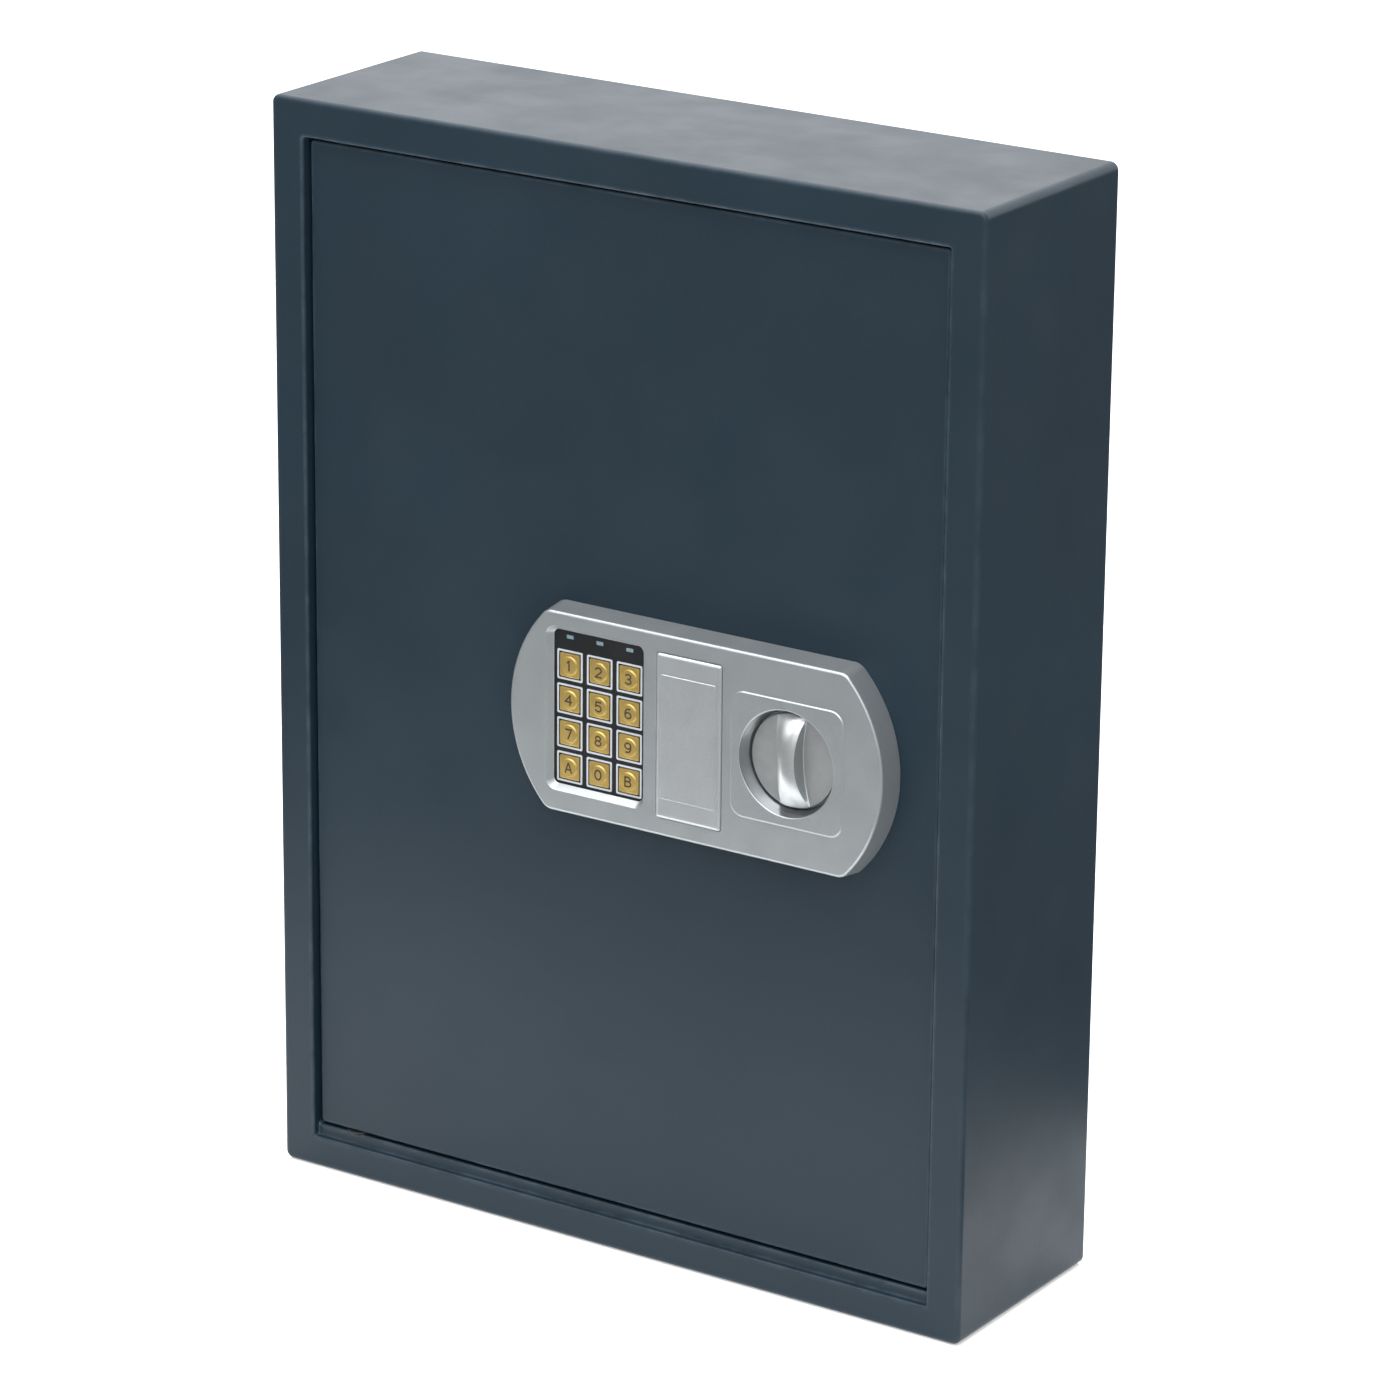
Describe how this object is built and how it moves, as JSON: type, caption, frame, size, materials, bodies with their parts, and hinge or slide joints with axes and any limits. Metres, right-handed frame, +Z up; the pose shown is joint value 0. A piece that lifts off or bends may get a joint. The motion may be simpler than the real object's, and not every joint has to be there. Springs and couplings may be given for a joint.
{
  "type": "wall safe",
  "caption": "Slim wall-mounted sheet-metal safe with a hinged door, keypad lock fascia, turning knob, sliding bolts and key rails inside.",
  "frame": {"origin": "centre of the four wall anchor holes on the rear face of the back panel", "axes": "+Z up, +Y out of the rear face towards the wall, so the door faces -Y; +X to the right seen from the front"},
  "size_m": [0.35, 0.1142, 0.483],
  "materials": {
    "powder_coat": "fine orange-peel powder coat, satin",
    "satin_silver": "satin silver lacquer",
    "zinc_steel": "zinc plated",
    "black_plastic": "fine matt",
    "gold_key": "satin gold",
    "led_lens": "smooth",
    "rubber": "matt",
    "nylon": "plain dark",
    "brass": "machined",
    "circuit_board": "solder mask",
    "cable_grey": "plain",
    "coil_wrap": "taped",
    "battery_wrap": "printed wrap",
    "red_plastic": "smooth"
  },
  "bodies": {
    "cabinet": {"body_shell": "powder_coat", "back_panel": "powder_coat", "upper_hinge_bush": "nylon", "lower_hinge_bush": "nylon", "upper_stop_strip": "powder_coat", "lower_stop_strip": "powder_coat", "door_bumpers": "rubber", "upper_key_rail": "zinc_steel", "middle_key_rail": "zinc_steel", "lower_key_rail": "zinc_steel"},
    "door": {"door_panel": "powder_coat", "hinge_channel": "powder_coat", "latch_channel": "powder_coat", "upper_hinge_pin": "zinc_steel", "lower_hinge_pin": "zinc_steel", "lock_fascia": "satin_silver", "keypad_plate": "black_plastic", "key_frames": "zinc_steel", "led_lenses": "led_lens", "keypad_board": "circuit_board", "ribbon_cable": "cable_grey", "fascia_studs": "zinc_steel", "fascia_nuts": "zinc_steel", "knob_bush": "brass", "override_body": "zinc_steel", "override_nut": "zinc_steel", "guide_pins": "zinc_steel", "bolt_guides": "zinc_steel", "solenoid_frame": "zinc_steel", "solenoid_coil": "coil_wrap", "plunger_spring": "zinc_steel", "lock_case": "powder_coat", "case_screws": "zinc_steel", "battery_holder": "black_plastic", "batteries": "battery_wrap", "control_board": "circuit_board"},
    "key_1_body": {"key_1": "gold_key"},
    "key_2_body": {"key_2": "gold_key"},
    "key_3_body": {"key_3": "gold_key"},
    "key_4_body": {"key_4": "gold_key"},
    "key_5_body": {"key_5": "gold_key"},
    "key_6_body": {"key_6": "gold_key"},
    "key_7_body": {"key_7": "gold_key"},
    "key_8_body": {"key_8": "gold_key"},
    "key_9_body": {"key_9": "gold_key"},
    "key_a_body": {"key_a": "gold_key"},
    "key_0_body": {"key_0": "gold_key"},
    "key_b_body": {"key_b": "gold_key"},
    "cover": {"override_cover": "satin_silver"},
    "plug": {"override_plug": "brass"},
    "knob_group": {"knob": "satin_silver", "knob_shaft": "zinc_steel", "knob_cam": "zinc_steel"},
    "carriage": {"bolt_carriage": "zinc_steel", "upper_bolt": "zinc_steel", "lower_bolt": "zinc_steel"},
    "plunger": {"solenoid_plunger": "zinc_steel"},
    "lid": {"battery_lid": "black_plastic"},
    "reset": {"reset_button": "red_plastic"}
  },
  "joints": [
    {"name": "door_hinge", "type": "hinge", "parent": "cabinet", "child": "door", "pos_m": [-0.1395, -0.0944, 0], "axis": [0, 0, -1], "range_deg": [0, 115]},
    {"name": "knob_turn", "type": "hinge", "parent": "door", "child": "knob_group", "pos_m": [0.0917, -0.105, 0], "axis": [0, 1, 0], "range_deg": [0, 90]},
    {"name": "bolt_slide", "type": "slide", "parent": "door", "child": "carriage", "axis": [1, 0, 0], "range_m": [0, 0.012]},
    {"name": "cover_pull", "type": "slide", "parent": "door", "child": "cover", "axis": [0, -1, 0], "range_m": [0, 0.02]},
    {"name": "override_turn", "type": "hinge", "parent": "door", "child": "plug", "pos_m": [0.0438, -0.09, 0], "axis": [0, 1, 0], "range_deg": [0, 90]},
    {"name": "plunger_slide", "type": "slide", "parent": "door", "child": "plunger", "axis": [0, 0, 1], "range_m": [0, 0.004], "stiffness_N_per_m": 200, "springref_m": -0.004, "deforming": ["plunger_spring"]},
    {"name": "battery_lid_pull", "type": "slide", "parent": "door", "child": "lid", "axis": [0, 1, 0], "range_m": [0, 0.015]},
    {"name": "reset_press", "type": "slide", "parent": "door", "child": "reset", "axis": [0, -1, 0], "range_m": [0, 0.0015], "stiffness_N_per_m": 400, "springref_m": -0.0005},
    {"name": "key_1_press", "type": "slide", "parent": "door", "child": "key_1_body", "axis": [0, 1, 0], "range_m": [0, 0.0008], "stiffness_N_per_m": 600, "springref_m": -0.0005},
    {"name": "key_2_press", "type": "slide", "parent": "door", "child": "key_2_body", "axis": [0, 1, 0], "range_m": [0, 0.0008], "stiffness_N_per_m": 600, "springref_m": -0.0005},
    {"name": "key_3_press", "type": "slide", "parent": "door", "child": "key_3_body", "axis": [0, 1, 0], "range_m": [0, 0.0008], "stiffness_N_per_m": 600, "springref_m": -0.0005},
    {"name": "key_4_press", "type": "slide", "parent": "door", "child": "key_4_body", "axis": [0, 1, 0], "range_m": [0, 0.0008], "stiffness_N_per_m": 600, "springref_m": -0.0005},
    {"name": "key_5_press", "type": "slide", "parent": "door", "child": "key_5_body", "axis": [0, 1, 0], "range_m": [0, 0.0008], "stiffness_N_per_m": 600, "springref_m": -0.0005},
    {"name": "key_6_press", "type": "slide", "parent": "door", "child": "key_6_body", "axis": [0, 1, 0], "range_m": [0, 0.0008], "stiffness_N_per_m": 600, "springref_m": -0.0005},
    {"name": "key_7_press", "type": "slide", "parent": "door", "child": "key_7_body", "axis": [0, 1, 0], "range_m": [0, 0.0008], "stiffness_N_per_m": 600, "springref_m": -0.0005},
    {"name": "key_8_press", "type": "slide", "parent": "door", "child": "key_8_body", "axis": [0, 1, 0], "range_m": [0, 0.0008], "stiffness_N_per_m": 600, "springref_m": -0.0005},
    {"name": "key_9_press", "type": "slide", "parent": "door", "child": "key_9_body", "axis": [0, 1, 0], "range_m": [0, 0.0008], "stiffness_N_per_m": 600, "springref_m": -0.0005},
    {"name": "key_a_press", "type": "slide", "parent": "door", "child": "key_a_body", "axis": [0, 1, 0], "range_m": [0, 0.0008], "stiffness_N_per_m": 600, "springref_m": -0.0005},
    {"name": "key_0_press", "type": "slide", "parent": "door", "child": "key_0_body", "axis": [0, 1, 0], "range_m": [0, 0.0008], "stiffness_N_per_m": 600, "springref_m": -0.0005},
    {"name": "key_b_press", "type": "slide", "parent": "door", "child": "key_b_body", "axis": [0, 1, 0], "range_m": [0, 0.0008], "stiffness_N_per_m": 600, "springref_m": -0.0005}
  ],
  "couplings": [
    {"joint": "knob_turn", "follows": "bolt_slide", "rad_per_m": 130.89}
  ]
}
